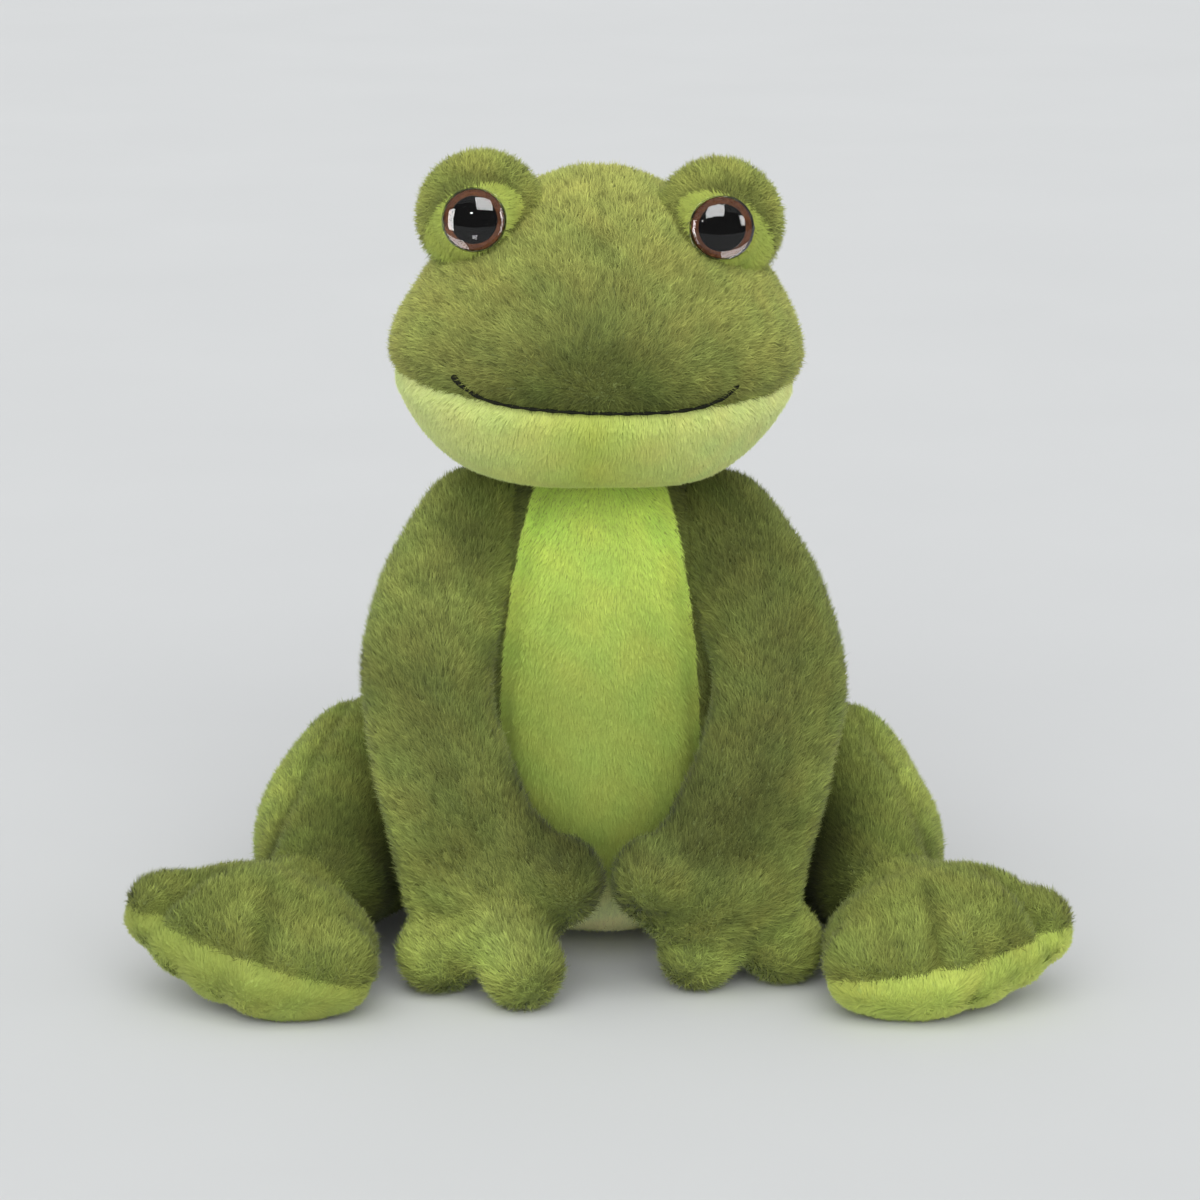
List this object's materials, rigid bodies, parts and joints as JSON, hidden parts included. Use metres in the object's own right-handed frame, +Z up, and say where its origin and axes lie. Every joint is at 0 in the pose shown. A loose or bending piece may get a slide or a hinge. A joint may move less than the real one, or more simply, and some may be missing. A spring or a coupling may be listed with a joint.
{
  "type": "plush frog",
  "caption": "Seated stuffed toy frog sewn from green plush panels, with a turning head, swinging arms, hinged legs, tipping feet and domed safety eyes.",
  "frame": {"origin": "middle of the flat face that the seat rests on", "axes": "+Z up, the frog faces -Y, its own left side is +X"},
  "size_m": [0.2952, 0.191, 0.258],
  "materials": {
    "dark_plush": "short-pile plush",
    "leg_plush": "short-pile plush",
    "light_plush": "short-pile plush",
    "chin_plush": "short-pile plush",
    "fibre": "loose polyester fibre",
    "cotton": "woven cotton",
    "thread": "embroidery thread",
    "clear_acrylic": "clear, polished",
    "iris_brown": "painted",
    "black_plastic": "moulded",
    "white_nylon": "moulded"
  },
  "bodies": {
    "torso": {"belly_skin": "light_plush", "back_skin_left": "dark_plush", "back_skin_right": "dark_plush", "body_filling_fibre": "fibre", "pellet_bag": "cotton"},
    "head": {"head_skin_left": "dark_plush", "head_skin_right": "dark_plush", "chin_skin": "chin_plush", "head_filling_fibre": "fibre", "mouth_thread": "thread", "mound_left_fibre": "fibre", "eye_hood_left": "dark_plush", "eye_patch_left": "light_plush", "eye_lens_left": "clear_acrylic", "eye_iris_left": "iris_brown", "eye_pupil_left": "black_plastic", "eye_post_left": "black_plastic", "eye_washer_left": "white_nylon", "mound_right_fibre": "fibre", "eye_hood_right": "dark_plush", "eye_patch_right": "light_plush", "eye_lens_right": "clear_acrylic", "eye_iris_right": "iris_brown", "eye_pupil_right": "black_plastic", "eye_post_right": "black_plastic", "eye_washer_right": "white_nylon"},
    "arm_left": {"arm_skin_upper_left": "dark_plush", "arm_skin_under_left": "dark_plush", "arm_left_fibre": "fibre"},
    "leg_left": {"leg_skin_outer_left": "leg_plush", "leg_skin_inner_left": "leg_plush", "leg_left_fibre": "fibre"},
    "foot_left": {"foot_top_skin_left": "dark_plush", "foot_sole_skin_left": "light_plush", "foot_left_fibre": "fibre"},
    "arm_right": {"arm_skin_upper_right": "dark_plush", "arm_skin_under_right": "dark_plush", "arm_right_fibre": "fibre"},
    "leg_right": {"leg_skin_outer_right": "leg_plush", "leg_skin_inner_right": "leg_plush", "leg_right_fibre": "fibre"},
    "foot_right": {"foot_top_skin_right": "dark_plush", "foot_sole_skin_right": "light_plush", "foot_right_fibre": "fibre"}
  },
  "joints": [
    {"name": "neck_turn", "type": "hinge", "parent": "torso", "child": "head", "pos_m": [-0.0027, 0, 0.1515], "axis": [0.0314, 0, 0.9995], "range_deg": [-20, 20]},
    {"name": "shoulder_left", "type": "hinge", "parent": "torso", "child": "arm_left", "pos_m": [0.034, -0.002, 0.129], "axis": [-1, 0, 0], "range_deg": [0, 40]},
    {"name": "shoulder_right", "type": "hinge", "parent": "torso", "child": "arm_right", "pos_m": [-0.034, -0.002, 0.129], "axis": [-1, 0, 0], "range_deg": [0, 40]},
    {"name": "hip_left", "type": "hinge", "parent": "torso", "child": "leg_left", "pos_m": [0.0563, 0.004, 0.038], "axis": [1, 0, 0], "range_deg": [0, 75]},
    {"name": "hip_right", "type": "hinge", "parent": "torso", "child": "leg_right", "pos_m": [-0.0563, 0.004, 0.038], "axis": [1, 0, 0], "range_deg": [0, 75]},
    {"name": "ankle_left", "type": "hinge", "parent": "leg_left", "child": "foot_left", "pos_m": [0.087, -0.062, 0.029], "axis": [0.9433, 0.3319, 0], "range_deg": [-12, 12]},
    {"name": "ankle_right", "type": "hinge", "parent": "leg_right", "child": "foot_right", "pos_m": [-0.087, -0.062, 0.029], "axis": [0.9433, -0.3319, 0], "range_deg": [-12, 12]}
  ]
}
